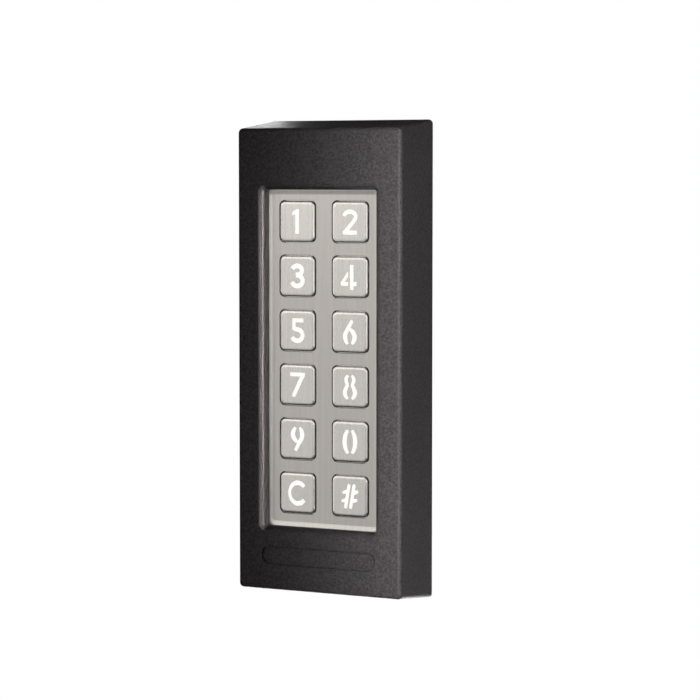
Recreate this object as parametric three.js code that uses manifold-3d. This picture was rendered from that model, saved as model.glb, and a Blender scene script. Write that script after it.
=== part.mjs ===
// Slim surface-mounted access keypad: a black die-cast housing with a recessed window, a brushed steel key
// plate with twelve backlit metal keys, two circuit boards on a moulded carrier, and a steel back plate that
// screws to a gate post. Units are millimetres. +X is to the right of somebody facing the keypad, +Y points
// into the post and +Z is up. The origin is the centre of the mounting face, so the keypad lies in front of
// it, at negative Y.

import * as THREE from "three";
import { mergeVertices } from "three/addons/utils/BufferGeometryUtils.js";
import Module from "manifold-3d";

const wasm = await Module();
wasm.setup();

// ---------------------------------------------------------------- driving dimensions

const GAP = 0.3; // clearance between pieces that touch
const PAST = 1; // a cutting shape runs this far past the face it cuts
const SUNK = 0.5; // a joined shape runs this far into its neighbour
const CORNER_STEPS = 3; // straight steps in a rounded corner
const EDGE_STEPS = 4; // straight steps across a rounded edge
const ROUND_STEPS = 16; // sides of a round piece
const SMALLEST_CORNER = 0.3;

// Depth stack, from the front face to the mounting face.
const FRONT_Y = -22.2;
const WINDOW_DEPTH = 3.8; // from the front face down to the key plate
const PLATE_FRONT_Y = FRONT_Y + WINDOW_DEPTH;
const PLATE_THICK = 1;
const KEY_PROUD = 0.4; // key faces stand this far out of the plate
const KEY_FLANGE = 0.8;
const MAT_FRONT_Y = -15.5;
const MAT_THICK = 0.8;
const BOARD_THICK = 1.6;
const CARRIER_THICK = 1;
const CARRIER_POST = 0.8;
const BACK_PLATE_THICK = 2;
const GASKET_THICK = 1;
const GASKET_PROUD = 0.2; // the gasket stands this far behind the housing's rear edge

const PLATE_BACK_Y = PLATE_FRONT_Y + PLATE_THICK;
const KEY_FRONT_Y = PLATE_FRONT_Y - KEY_PROUD;
const FLANGE_FRONT_Y = PLATE_BACK_Y + GAP;
const FLANGE_BACK_Y = FLANGE_FRONT_Y + KEY_FLANGE;
const MAT_BACK_Y = MAT_FRONT_Y + MAT_THICK;
const KEY_BOARD_FRONT_Y = MAT_BACK_Y + GAP;
const KEY_BOARD_BACK_Y = KEY_BOARD_FRONT_Y + BOARD_THICK;
const CARRIER_FRONT_Y = KEY_BOARD_BACK_Y + GAP;
const CARRIER_BACK_Y = CARRIER_FRONT_Y + CARRIER_THICK;
const POST_BACK_Y = CARRIER_BACK_Y + CARRIER_POST;
const CONTROL_FRONT_Y = POST_BACK_Y + GAP;
const CONTROL_BACK_Y = CONTROL_FRONT_Y + BOARD_THICK;
const GASKET_FRONT_Y = -GASKET_THICK;
const BACK_PLATE_BACK_Y = GASKET_FRONT_Y - GAP;
const BACK_PLATE_FRONT_Y = BACK_PLATE_BACK_Y - BACK_PLATE_THICK;
const HOUSING_BACK_Y = -GASKET_PROUD;

// Housing. Its top and bottom faces flare out towards the post.
const WIDTH = 55;
const FRONT_HALF_HEIGHT = 69.7;
const BACK_HALF_HEIGHT = 72.45;
const SIDE_WALL = 2.5;
const END_WALL = 3;
const EDGE_RADIUS = 1.25;
const HOUSING_CORNER = 1.4;
const CAVITY_CORNER = 1.5;

// Window in the front face.
const WINDOW_HALF_WIDTH = 18.6;
const WINDOW_HALF_HEIGHT = 51;
const WINDOW_Z = 0.4; // the window's centre stands this far above the housing's
const WINDOW_CORNER = 0.8;
const RIM_RADIUS = 2; // the window's front rim is rounded over

// Blank oval name field pressed into the front face under the window. Its ends are half circles, but
// for a flat of twice this length between their two arcs.
const BADGE = { z: -59.1, length: 38.9, height: 6.1, line: 0.8, depth: 0.65, steps: 6, flat: 0.01 };

// Keys, in two columns and six rows.
const KEY_NAMES = ["1", "2", "3", "4", "5", "6", "7", "8", "9", "0", "clear", "hash"];
const COLUMNS = 2;
const ROWS = 6;
const PITCH_X = 17.75;
const PITCH_Z = 16.42;
const KEYS_Z = 0.77; // centre of the grid
const CAP = { width: 11.85, height: 12.23, corner: 1.6 };
// The rolled edge of a key: distance in from its side, fall from its face.
const CAP_EDGE = [[0.9, 0], [0.38, 0.08], [0.13, 0.18], [0, 0.4]];
const KEY_SLIT = 0.32; // open line around a key
const FLANGE_LIP = 1; // the flange is wider than the cap by this on every side
const LIGHT_GUIDE = { width: 8.8, height: 9.4 };
const CAP_FACE_THICK = 0.8;

const PLATE = { halfWidth: 23.7, halfHeight: 57, corner: 2 };
const SEAL = { inset: 1.5, width: 1.4, depth: 1, corner: 2 };
const BOARD = { halfWidth: 22.5, bottom: -56, top: 57, corner: 1 };
const CONTROL = { halfWidth: 20, bottom: -50, top: 28, corner: 1 };
const CARRIER = { halfWidth: 23, halfHeight: 64, openX: 15, bottom: -47, top: 50, corner: 2 };

const LED = { width: 2, height: 1.6, thick: 0.6, sunk: 0.1 };
const KEY_MAT = { inset: 0.5, holeRadius: 2.2, holeSides: 12 };

// Screws that hold the carrier to the housing's pillars, and the control board to the carrier.
const PILLARS = [[-20, 61], [20, 61], [-20, -61], [20, -61]];
const PILLAR_RADIUS = 2.8;
const CARRIER_SCREW = { shank: 1.25, head: 2.4, headThick: 1.6, length: 7 };
const POSTS = [[-17.5, 14.5], [17.5, 14.5], [-17.5, -46], [17.5, -46]];
const POST_RADIUS = 2.2;
const BOARD_SCREW = { shank: 0.9, head: 1.9, headThick: 1.3, length: 3.4 };
// Shares of a screw's own sizes: its blunt point, and the edge and top of its head.
const SCREW_SHAPE = { point: 0.4, headEdge: 0.4, headTop: 0.7 };
const HALF_SLOT = 0.3;

// Back plate, its two hooks, its foot for the security screw, and its holes.
const BACK_PLATE = { halfWidth: 24.5, halfHeight: 68.6, corner: 1.5 };
const GASKET = { halfWidth: 24, halfHeight: 68.1, corner: 1.5, holeMargin: 0.5 };
const MOUNTING_HOLES_Z = [57, -58];
const MOUNTING_HOLE_RADIUS = 2.75;
const CABLE_Z = 41;
const CABLE_RADIUS = 3.5;
const GROMMET = { neck: 5.7, flange: 7.2, thick: 1.2, chamfer: 0.5, backY: -0.1 };
const HOOK = { inner: 8, outer: 16, bottom: 64.6, thick: 1.5, frontY: -9, lipThick: 1.3, lipTop: 68 };
const CATCH = { frontY: -7.3, backY: -4.4, bottom: 66.5 };
const FOOT = { halfWidth: 8, bottom: -67.6, thick: 2.4, frontY: -11 };
const SECURITY_SCREW = { y: -7.4, shank: 1.5, head: 2.7, headThick: 1.3, top: -63.6 };
const SCREW_SOCKET = { radius: 1.1, depth: 0.8 };

// Parts on the back of the control board: centre x and z, and sizes.
const PART_BACK_Y = BACK_PLATE_FRONT_Y - 0.4;
const RELAYS = [[-11, 4], [3, 4]];
const RELAY = { width: 10, height: 15, corner: 0.6, cornerSteps: 2, chamfer: 0.5 };
const TERMINALS = { z: 22, poles: 10, pitch: 3.5, height: 7.6, halfWire: 1.1 };
const TERMINAL_SCREW = { radius: 1.2, below: 1.2, depth: 1.5, sides: 8 };
const CHIP = { x: -8, z: -16, side: 10, thick: 1.4, corner: 0.3 };
const CAPACITOR = { x: 14.5, z: 4, radius: 3 };
const BUZZER = { x: 8, z: -19, radius: 6.5, backY: PART_BACK_Y - 0.3, chamfer: 0.4 };
const BUZZER_PORT = { radius: 1.2, depth: 1.5 };
const HEADER = { x: 0, z: -40, width: 15, height: 5 };
const TAMPER = { x: -11, z: -35, side: 6, thick: 3.4, floor: 0.6, bore: 1.5 };
const PLUNGER = { radius: 1.1, frontY: -7.2 };

const FINISH = {
  housing: { color: 0x242424, roughness: 0.62, metalness: 0.1 },
  steel: { color: 0xb8b5b0, roughness: 0.38, metalness: 0.9 },
  key: { color: 0xc6c3bf, roughness: 0.34, metalness: 0.9 },
  legend: { color: 0xf4f2ec, roughness: 0.4, metalness: 0 },
  rubber: { color: 0x1c1c1c, roughness: 0.85, metalness: 0 },
  silicone: { color: 0xcfd0cf, roughness: 0.7, metalness: 0 },
  board: { color: 0x1f5a38, roughness: 0.5, metalness: 0 },
  plastic: { color: 0x202124, roughness: 0.6, metalness: 0 },
  connector: { color: 0x2f6f4a, roughness: 0.55, metalness: 0 },
  screw: { color: 0x9a9a98, roughness: 0.35, metalness: 0.95 },
};

// ---------------------------------------------------------------- shape helpers

// A closed geometry as a solid that can be joined and cut. Faces that point inwards are turned round.
function solid(geometry) {
  const bare = geometry.clone();
  bare.deleteAttribute("normal");
  bare.deleteAttribute("uv");
  const merged = mergeVertices(bare, 1e-4);
  const vertProperties = merged.attributes.position.array;
  const triVerts = new Uint32Array(merged.index.array);
  const made = new wasm.Manifold(new wasm.Mesh({ numProp: 3, vertProperties, triVerts }));
  if (made.volume() >= 0) return made;
  const turnedRound = triVerts.slice().reverse();
  return new wasm.Manifold(new wasm.Mesh({ numProp: 3, vertProperties, triVerts: turnedRound }));
}

function geometryOf(made) {
  const mesh = made.getMesh();
  const geometry = new THREE.BufferGeometry();
  geometry.setAttribute("position", new THREE.BufferAttribute(mesh.vertProperties, 3));
  geometry.setIndex(new THREE.BufferAttribute(mesh.triVerts, 1));
  geometry.computeVertexNormals();
  return geometry;
}

// The points of a rounded rectangle, anticlockwise, centred on x, z.
function roundedPoints(halfWidth, halfHeight, radius, x = 0, z = 0, steps = CORNER_STEPS) {
  const points = [];
  for (let corner = 0; corner < 4; corner++) {
    const right = corner === 0 || corner === 3 ? 1 : -1;
    const up = corner < 2 ? 1 : -1;
    for (let i = 0; i <= steps; i++) {
      const angle = (corner + i / steps) * (Math.PI / 2);
      const px = x + right * (halfWidth - radius) + radius * Math.cos(angle);
      const pz = z + up * (halfHeight - radius) + radius * Math.sin(angle);
      points.push(new THREE.Vector2(px, pz));
    }
  }
  return points;
}

// A flat outline in X and Z, made solid from yFront to yBack.
function slab(points, yFront, yBack) {
  const geometry = new THREE.ExtrudeGeometry(new THREE.Shape(points), {
    depth: yBack - yFront,
    bevelEnabled: false,
  });
  geometry.rotateX(Math.PI / 2);
  geometry.translate(0, yBack, 0);
  return solid(geometry);
}

// A solid through rings with equal numbers of points. Each ring is { y, points }, from front to back.
function loft(rings) {
  const count = rings[0].points.length;
  const positions = [];
  for (const { y, points } of rings) {
    for (const p of points) positions.push(p.x, y, p.y);
  }
  const index = [];
  for (let r = 0; r + 1 < rings.length; r++) {
    for (let i = 0; i < count; i++) {
      const a = r * count + i;
      const b = r * count + ((i + 1) % count);
      index.push(a, b, b + count, a, b + count, a + count);
    }
  }
  const last = (rings.length - 1) * count;
  for (let i = 1; i + 1 < count; i++) {
    index.push(0, i + 1, i);
    index.push(last, last + i, last + i + 1);
  }
  const geometry = new THREE.BufferGeometry();
  geometry.setAttribute("position", new THREE.Float32BufferAttribute(positions, 3));
  geometry.setIndex(index);
  return solid(geometry);
}

function block(x0, x1, y0, y1, z0, z1) {
  const geometry = new THREE.BoxGeometry(x1 - x0, y1 - y0, z1 - z0);
  geometry.translate((x0 + x1) / 2, (y0 + y1) / 2, (z0 + z1) / 2);
  return solid(geometry);
}

// A round bar along Y.
function bar(x, z, radius, yFront, yBack, sides = ROUND_STEPS) {
  const geometry = new THREE.CylinderGeometry(radius, radius, yBack - yFront, sides);
  geometry.translate(x, (yFront + yBack) / 2, z);
  return solid(geometry);
}

// A round bar along Z.
function uprightBar(x, y, radius, z0, z1) {
  const geometry = new THREE.CylinderGeometry(radius, radius, z1 - z0, ROUND_STEPS);
  geometry.rotateX(Math.PI / 2);
  geometry.translate(x, y, (z0 + z1) / 2);
  return solid(geometry);
}

// A turned piece about an axis along Y, from a profile of [radius, y] points that starts and ends on the axis.
function turned(x, z, profile) {
  const points = profile.map(([radius, y]) => new THREE.Vector2(radius, y));
  const geometry = new THREE.LatheGeometry(points, ROUND_STEPS);
  geometry.translate(x, 0, z);
  return solid(geometry);
}

const group = new THREE.Group();

function addPart(name, made, finish) {
  const material = new THREE.MeshStandardMaterial(FINISH[finish]);
  const mesh = new THREE.Mesh(geometryOf(made), material);
  mesh.name = name;
  group.add(mesh);
}

// ---------------------------------------------------------------- housing

// Half the housing's height at depth y: the end faces are flat and lean outwards.
function halfHeightAt(y) {
  const share = (y - FRONT_Y) / -FRONT_Y;
  return FRONT_HALF_HEIGHT + share * (BACK_HALF_HEIGHT - FRONT_HALF_HEIGHT);
}

function housingRing(y, inset) {
  const radius = Math.max(HOUSING_CORNER - inset, SMALLEST_CORNER);
  return { y, points: roundedPoints(WIDTH / 2 - inset, halfHeightAt(y) - inset, radius) };
}

// The steps of a front edge rounded over: the depth of each, and how far it lies in from the side.
function edgeSteps(radius) {
  const steps = [];
  for (let i = 0; i <= EDGE_STEPS; i++) {
    const angle = (i / EDGE_STEPS) * (Math.PI / 2);
    steps.push({ y: FRONT_Y + radius * (1 - Math.cos(angle)), inset: radius * (1 - Math.sin(angle)) });
  }
  return steps;
}

// The outer form, with its front edge rounded over.
function housingForm() {
  const rings = edgeSteps(EDGE_RADIUS).map(({ y, inset }) => housingRing(y, inset));
  rings.push(housingRing(HOUSING_BACK_Y, 0));
  return loft(rings);
}

function cavity() {
  const ring = (y) => ({
    y,
    points: roundedPoints(WIDTH / 2 - SIDE_WALL, halfHeightAt(y) - END_WALL, CAVITY_CORNER),
  });
  return loft([ring(PLATE_FRONT_Y - GAP), ring(PAST)]);
}

function windowRing(y, spread) {
  const points = roundedPoints(
    WINDOW_HALF_WIDTH + spread,
    WINDOW_HALF_HEIGHT + spread,
    WINDOW_CORNER + spread,
    0,
    WINDOW_Z,
  );
  return { y, points };
}

// What is cut away for the window, with its rounded rim.
function windowCut() {
  const rings = [windowRing(FRONT_Y - PAST, RIM_RADIUS)];
  for (const { y, inset } of edgeSteps(RIM_RADIUS)) rings.push(windowRing(y, inset));
  rings.push(windowRing(PLATE_BACK_Y, 0));
  return loft(rings);
}

// The rubber seal round the window. With extra, the groove that it lies in.
function sealRing(extra, yFront, yBack) {
  const inner = SEAL.inset - extra;
  const outer = SEAL.inset + SEAL.width + extra;
  const outline = (spread) =>
    roundedPoints(WINDOW_HALF_WIDTH + spread, WINDOW_HALF_HEIGHT + spread, SEAL.corner, 0, WINDOW_Z);
  const hole = slab(outline(inner), yFront - PAST, yBack + PAST);
  return slab(outline(outer), yFront, yBack).subtract(hole);
}

function badgeGroove() {
  const outline = (inset) => {
    const halfHeight = BADGE.height / 2 - inset;
    const halfLength = BADGE.length / 2 - inset;
    return roundedPoints(halfLength, halfHeight, halfHeight - BADGE.flat, 0, BADGE.z, BADGE.steps);
  };
  const back = FRONT_Y + BADGE.depth;
  const middle = slab(outline(BADGE.line), FRONT_Y - 2 * PAST, back + PAST);
  return slab(outline(0), FRONT_Y - PAST, back).subtract(middle);
}

// A pillar behind the front wall and the bore in it for a carrier screw.
function pillar(x, z) {
  const end = CARRIER_FRONT_Y - GAP;
  return {
    post: bar(x, z, PILLAR_RADIUS, PLATE_FRONT_Y - GAP - SUNK, end),
    bore: bar(x, z, CARRIER_SCREW.shank + GAP, end - CARRIER_SCREW.length, end + PAST),
  };
}

// The two ribs inside the top wall that the back plate's hooks hold.
function housingCatch(side) {
  const x0 = side > 0 ? HOOK.inner : -HOOK.outer;
  const x1 = side > 0 ? HOOK.outer : -HOOK.inner;
  const top = halfHeightAt(CATCH.frontY) - END_WALL / 2;
  return block(x0, x1, CATCH.frontY, CATCH.backY, CATCH.bottom, top);
}

// The hole up through the bottom wall for the security screw, wider below for its head.
function securityHole() {
  const outside = -BACK_HALF_HEIGHT - PAST;
  const seat = -halfHeightAt(SECURITY_SCREW.y) + SECURITY_SCREW.headThick + GAP * 2;
  const head = uprightBar(0, SECURITY_SCREW.y, SECURITY_SCREW.head + GAP, outside, seat);
  return head.add(uprightBar(0, SECURITY_SCREW.y, SECURITY_SCREW.shank + GAP, outside, FOOT.bottom));
}

function frontHousing() {
  let made = housingForm().subtract(cavity()).subtract(windowCut());
  const grooveFront = PLATE_FRONT_Y - GAP - SEAL.depth;
  made = made.subtract(sealRing(GAP, grooveFront, PLATE_FRONT_Y));
  made = made.subtract(badgeGroove());
  for (const [x, z] of PILLARS) {
    const { post, bore } = pillar(x, z);
    made = made.add(post).subtract(bore);
  }
  for (const side of [-1, 1]) made = made.add(housingCatch(side));
  return made.subtract(securityHole());
}

addPart("front_housing", frontHousing(), "housing");
addPart(
  "window_seal",
  sealRing(0, PLATE_FRONT_Y - SEAL.depth, PLATE_FRONT_Y - GAP),
  "rubber",
);

// ---------------------------------------------------------------- key plate and keys

// Centre of each key, left to right and then down.
function keyCentres() {
  const centres = [];
  for (let row = 0; row < ROWS; row++) {
    for (let column = 0; column < COLUMNS; column++) {
      const x = (column - (COLUMNS - 1) / 2) * PITCH_X;
      const z = KEYS_Z + ((ROWS - 1) / 2 - row) * PITCH_Z;
      centres.push([x, z]);
    }
  }
  return centres;
}

function keypadPlate() {
  const outline = roundedPoints(PLATE.halfWidth, PLATE.halfHeight, PLATE.corner, 0, WINDOW_Z);
  let made = slab(outline, PLATE_FRONT_Y, PLATE_BACK_Y);
  for (const [x, z] of keyCentres()) {
    const opening = roundedPoints(
      CAP.width / 2 + KEY_SLIT,
      CAP.height / 2 + KEY_SLIT,
      CAP.corner + KEY_SLIT,
      x,
      z,
    );
    made = made.subtract(slab(opening, PLATE_FRONT_Y - PAST, PLATE_BACK_Y + PAST));
  }
  return made;
}

// A metal key: a face with rolled edges, a flange behind the plate and a pocket for its light guide.
function keyCap(x, z) {
  const ring = (y, inset) => ({
    y,
    points: roundedPoints(CAP.width / 2 - inset, CAP.height / 2 - inset, CAP.corner - inset / 2, x, z),
  });
  const edge = CAP_EDGE.map(([inset, fall]) => ring(KEY_FRONT_Y + fall, inset));
  const cap = loft([...edge, ring(FLANGE_BACK_Y, 0)]);
  const halfWidth = CAP.width / 2 + FLANGE_LIP;
  const halfHeight = CAP.height / 2 + FLANGE_LIP;
  const flange = block(
    x - halfWidth,
    x + halfWidth,
    FLANGE_FRONT_Y,
    FLANGE_BACK_Y,
    z - halfHeight,
    z + halfHeight,
  );
  return cap.add(flange).subtract(lightGuide(x, z, GAP));
}

// The light-carrying block behind a key's face. With extra, the pocket that it sits in.
function lightGuide(x, z, extra) {
  const halfWidth = LIGHT_GUIDE.width / 2 + extra;
  const halfHeight = LIGHT_GUIDE.height / 2 + extra;
  const front = KEY_FRONT_Y + CAP_FACE_THICK + GAP - extra;
  return block(x - halfWidth, x + halfWidth, front, FLANGE_BACK_Y + extra, z - halfHeight, z + halfHeight);
}

// The silicone mat that springs the keys back, with a hole over each light.
function keyMat() {
  const outline = roundedPoints(
    BOARD.halfWidth - KEY_MAT.inset,
    (BOARD.top - BOARD.bottom) / 2 - KEY_MAT.inset,
    BOARD.corner,
    0,
    (BOARD.top + BOARD.bottom) / 2,
  );
  let made = slab(outline, MAT_FRONT_Y, MAT_BACK_Y);
  for (const [x, z] of keyCentres()) {
    const hole = bar(x, z, KEY_MAT.holeRadius, MAT_FRONT_Y - PAST, MAT_BACK_Y + PAST, KEY_MAT.holeSides);
    made = made.subtract(hole);
  }
  return made;
}

// The board behind the keys, with one light for each key on its front.
function keypadBoard() {
  const outline = roundedPoints(
    BOARD.halfWidth,
    (BOARD.top - BOARD.bottom) / 2,
    BOARD.corner,
    0,
    (BOARD.top + BOARD.bottom) / 2,
  );
  let made = slab(outline, KEY_BOARD_FRONT_Y, KEY_BOARD_BACK_Y);
  for (const [x, z] of keyCentres()) {
    const light = block(
      x - LED.width / 2,
      x + LED.width / 2,
      KEY_BOARD_FRONT_Y - LED.thick,
      KEY_BOARD_FRONT_Y + LED.sunk,
      z - LED.height / 2,
      z + LED.height / 2,
    );
    made = made.add(light);
  }
  return made;
}

addPart("keypad_plate", keypadPlate(), "steel");
keyCentres().forEach(([x, z], i) => {
  addPart("key_cap_" + KEY_NAMES[i], keyCap(x, z), "key");
  addPart("light_guide_" + KEY_NAMES[i], lightGuide(x, z, 0), "legend");
});
addPart("key_mat", keyMat(), "silicone");
addPart("keypad_board", keypadBoard(), "board");

// ---------------------------------------------------------------- carrier, control board and screws

// A pan-headed screw along Y, its head at the back and its point to the front.
function screwAlongY(x, z, size, headFrontY) {
  const headBackY = headFrontY + size.headThick;
  const pointY = headFrontY - size.length;
  const slot = block(
    x - size.head,
    x + size.head,
    headBackY - size.headThick / 2,
    headBackY + PAST,
    z - HALF_SLOT,
    z + HALF_SLOT,
  );
  const profile = [
    [0, pointY],
    [size.shank * SCREW_SHAPE.point, pointY],
    [size.shank, pointY + size.shank],
    [size.shank, headFrontY],
    [size.head, headFrontY],
    [size.head, headBackY - size.headThick * SCREW_SHAPE.headEdge],
    [size.head * SCREW_SHAPE.headTop, headBackY],
    [0, headBackY],
  ];
  return turned(x, z, profile).subtract(slot);
}

// An open frame behind the keypad board, with four posts that carry the control board.
function boardCarrier() {
  const outline = roundedPoints(CARRIER.halfWidth, CARRIER.halfHeight, CARRIER.corner);
  let made = slab(outline, CARRIER_FRONT_Y, CARRIER_BACK_Y);
  const front = CARRIER_FRONT_Y - PAST;
  const back = CARRIER_BACK_Y + PAST;
  made = made.subtract(
    block(-CARRIER.openX, CARRIER.openX, front, back, CARRIER.bottom, CARRIER.top),
  );
  for (const [x, z] of PILLARS) {
    made = made.subtract(bar(x, z, CARRIER_SCREW.shank + GAP, front, back));
  }
  for (const [x, z] of POSTS) {
    made = made.add(bar(x, z, POST_RADIUS, CARRIER_FRONT_Y, POST_BACK_Y));
    made = made.subtract(bar(x, z, BOARD_SCREW.shank + GAP, front, POST_BACK_Y + PAST));
  }
  return made;
}

function controlBoard() {
  const middle = (CONTROL.top + CONTROL.bottom) / 2;
  const halfHeight = (CONTROL.top - CONTROL.bottom) / 2;
  const outline = roundedPoints(CONTROL.halfWidth, halfHeight, CONTROL.corner, 0, middle);
  let made = slab(outline, CONTROL_FRONT_Y, CONTROL_BACK_Y);
  for (const [x, z] of POSTS) {
    const hole = bar(x, z, BOARD_SCREW.shank + GAP, CONTROL_FRONT_Y - PAST, CONTROL_BACK_Y + PAST);
    made = made.subtract(hole);
  }
  return made;
}

addPart("board_carrier", boardCarrier(), "plastic");
PILLARS.forEach(([x, z], i) => {
  addPart("carrier_screw_" + (i + 1), screwAlongY(x, z, CARRIER_SCREW, CARRIER_BACK_Y + GAP), "screw");
});
addPart("control_board", controlBoard(), "board");
POSTS.forEach(([x, z], i) => {
  addPart("board_screw_" + (i + 1), screwAlongY(x, z, BOARD_SCREW, CONTROL_BACK_Y + GAP), "screw");
});

// ---------------------------------------------------------------- parts on the control board

const PART_FRONT_Y = CONTROL_BACK_Y + GAP;

// The plug and socket that join the two boards through the carrier's opening.
function boardHeader() {
  const front = KEY_BOARD_BACK_Y + GAP;
  const back = CONTROL_FRONT_Y - GAP;
  return block(
    HEADER.x - HEADER.width / 2,
    HEADER.x + HEADER.width / 2,
    front,
    back,
    HEADER.z - HEADER.height / 2,
    HEADER.z + HEADER.height / 2,
  );
}

// A sealed relay with chamfered edges at the back.
function relay(x, z) {
  const ring = (y, inset) => ({
    y,
    points: roundedPoints(
      RELAY.width / 2 - inset,
      RELAY.height / 2 - inset,
      RELAY.corner,
      x,
      z,
      RELAY.cornerSteps,
    ),
  });
  return loft([
    ring(PART_FRONT_Y, 0),
    ring(PART_BACK_Y - RELAY.chamfer, 0),
    ring(PART_BACK_Y, RELAY.chamfer),
  ]);
}

// Screw terminals in a row, with wire holes in the upper side and screw holes at the back.
function terminalBlock() {
  const halfLength = (TERMINALS.poles * TERMINALS.pitch) / 2;
  const bottom = TERMINALS.z - TERMINALS.height / 2;
  const top = TERMINALS.z + TERMINALS.height / 2;
  let made = block(-halfLength, halfLength, PART_FRONT_Y, PART_BACK_Y, bottom, top);
  const wireY = (PART_FRONT_Y + PART_BACK_Y) / 2;
  for (let i = 0; i < TERMINALS.poles; i++) {
    const x = (i + 0.5) * TERMINALS.pitch - halfLength;
    const wire = block(
      x - TERMINALS.halfWire,
      x + TERMINALS.halfWire,
      wireY - TERMINALS.halfWire,
      wireY + TERMINALS.halfWire,
      TERMINALS.z,
      top + PAST,
    );
    const screw = bar(
      x,
      TERMINALS.z - TERMINAL_SCREW.below,
      TERMINAL_SCREW.radius,
      PART_BACK_Y - TERMINAL_SCREW.depth,
      PART_BACK_Y + PAST,
      TERMINAL_SCREW.sides,
    );
    made = made.subtract(wire).subtract(screw);
  }
  return made;
}

// A round sounder with a port in its back.
function buzzer() {
  const { x, z, radius, backY, chamfer } = BUZZER;
  return turned(x, z, [
    [0, PART_FRONT_Y],
    [radius, PART_FRONT_Y],
    [radius, backY - chamfer],
    [radius - chamfer, backY],
    [BUZZER_PORT.radius, backY],
    [BUZZER_PORT.radius, backY - BUZZER_PORT.depth],
    [0, backY - BUZZER_PORT.depth],
  ]);
}

// The switch that feels the back plate, bored for its plunger.
function tamperSwitch() {
  const half = TAMPER.side / 2;
  const back = PART_FRONT_Y + TAMPER.thick;
  const body = block(
    TAMPER.x - half,
    TAMPER.x + half,
    PART_FRONT_Y,
    back,
    TAMPER.z - half,
    TAMPER.z + half,
  );
  const bore = bar(TAMPER.x, TAMPER.z, TAMPER.bore, PART_FRONT_Y + TAMPER.floor, back + PAST);
  return body.subtract(bore);
}

addPart("board_header", boardHeader(), "plastic");
RELAYS.forEach(([x, z], i) => addPart("relay_" + (i + 1), relay(x, z), "plastic"));
addPart("terminal_block", terminalBlock(), "connector");
addPart(
  "microcontroller",
  slab(
    roundedPoints(CHIP.side / 2, CHIP.side / 2, CHIP.corner, CHIP.x, CHIP.z, 1),
    PART_FRONT_Y,
    PART_FRONT_Y + CHIP.thick,
  ),
  "plastic",
);
addPart(
  "supply_capacitor",
  bar(CAPACITOR.x, CAPACITOR.z, CAPACITOR.radius, PART_FRONT_Y, PART_BACK_Y),
  "screw",
);
addPart("buzzer", buzzer(), "plastic");
addPart("tamper_switch", tamperSwitch(), "plastic");
addPart(
  "tamper_plunger",
  bar(TAMPER.x, TAMPER.z, PLUNGER.radius, PLUNGER.frontY, BACK_PLATE_FRONT_Y - GAP),
  "legend",
);

// ---------------------------------------------------------------- back plate, gasket, grommet and lock screw

// A hook bent forward from the plate's top edge, with a lip turned up in front of the housing's catch.
function plateHook(side) {
  const x0 = side > 0 ? HOOK.inner : -HOOK.outer;
  const x1 = side > 0 ? HOOK.outer : -HOOK.inner;
  const top = HOOK.bottom + HOOK.thick;
  const arm = block(x0, x1, HOOK.frontY, BACK_PLATE_FRONT_Y + SUNK, HOOK.bottom, top);
  const lip = block(x0, x1, HOOK.frontY, HOOK.frontY + HOOK.lipThick, HOOK.bottom, HOOK.lipTop);
  return arm.add(lip);
}

// The foot bent forward from the plate's bottom edge, which the security screw threads into.
function plateFoot() {
  const foot = block(
    -FOOT.halfWidth,
    FOOT.halfWidth,
    FOOT.frontY,
    BACK_PLATE_FRONT_Y + SUNK,
    FOOT.bottom,
    FOOT.bottom + FOOT.thick,
  );
  const top = FOOT.bottom + FOOT.thick;
  const boreRadius = SECURITY_SCREW.shank + GAP;
  return foot.subtract(uprightBar(0, SECURITY_SCREW.y, boreRadius, FOOT.bottom - PAST, top + PAST));
}

function backPlate() {
  const outline = roundedPoints(BACK_PLATE.halfWidth, BACK_PLATE.halfHeight, BACK_PLATE.corner);
  let made = slab(outline, BACK_PLATE_FRONT_Y, BACK_PLATE_BACK_Y);
  for (const side of [-1, 1]) made = made.add(plateHook(side));
  made = made.add(plateFoot());
  const front = BACK_PLATE_FRONT_Y - PAST;
  const back = BACK_PLATE_BACK_Y + PAST;
  for (const z of MOUNTING_HOLES_Z) {
    made = made.subtract(bar(0, z, MOUNTING_HOLE_RADIUS, front, back));
  }
  return made.subtract(bar(0, CABLE_Z, GROMMET.neck + GAP, front, back));
}

function rearGasket() {
  const outline = roundedPoints(GASKET.halfWidth, GASKET.halfHeight, GASKET.corner);
  let made = slab(outline, GASKET_FRONT_Y, 0);
  const front = GASKET_FRONT_Y - PAST;
  for (const z of MOUNTING_HOLES_Z) {
    made = made.subtract(bar(0, z, MOUNTING_HOLE_RADIUS + GASKET.holeMargin, front, PAST));
  }
  return made.subtract(bar(0, CABLE_Z, GROMMET.flange + GAP, front, PAST));
}

// A rubber grommet whose flanges grip the back plate round the cable hole.
function cableGrommet() {
  const front = BACK_PLATE_FRONT_Y - GAP - GROMMET.thick;
  const made = turned(0, CABLE_Z, [
    [0, front],
    [GROMMET.flange - GROMMET.chamfer, front],
    [GROMMET.flange, front + GROMMET.chamfer],
    [GROMMET.flange, BACK_PLATE_FRONT_Y - GAP],
    [GROMMET.neck, BACK_PLATE_FRONT_Y - GAP],
    [GROMMET.neck, BACK_PLATE_BACK_Y + GAP],
    [GROMMET.flange, BACK_PLATE_BACK_Y + GAP],
    [GROMMET.flange, GROMMET.backY],
    [0, GROMMET.backY],
  ]);
  return made.subtract(bar(0, CABLE_Z, CABLE_RADIUS, front - PAST, PAST));
}

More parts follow.
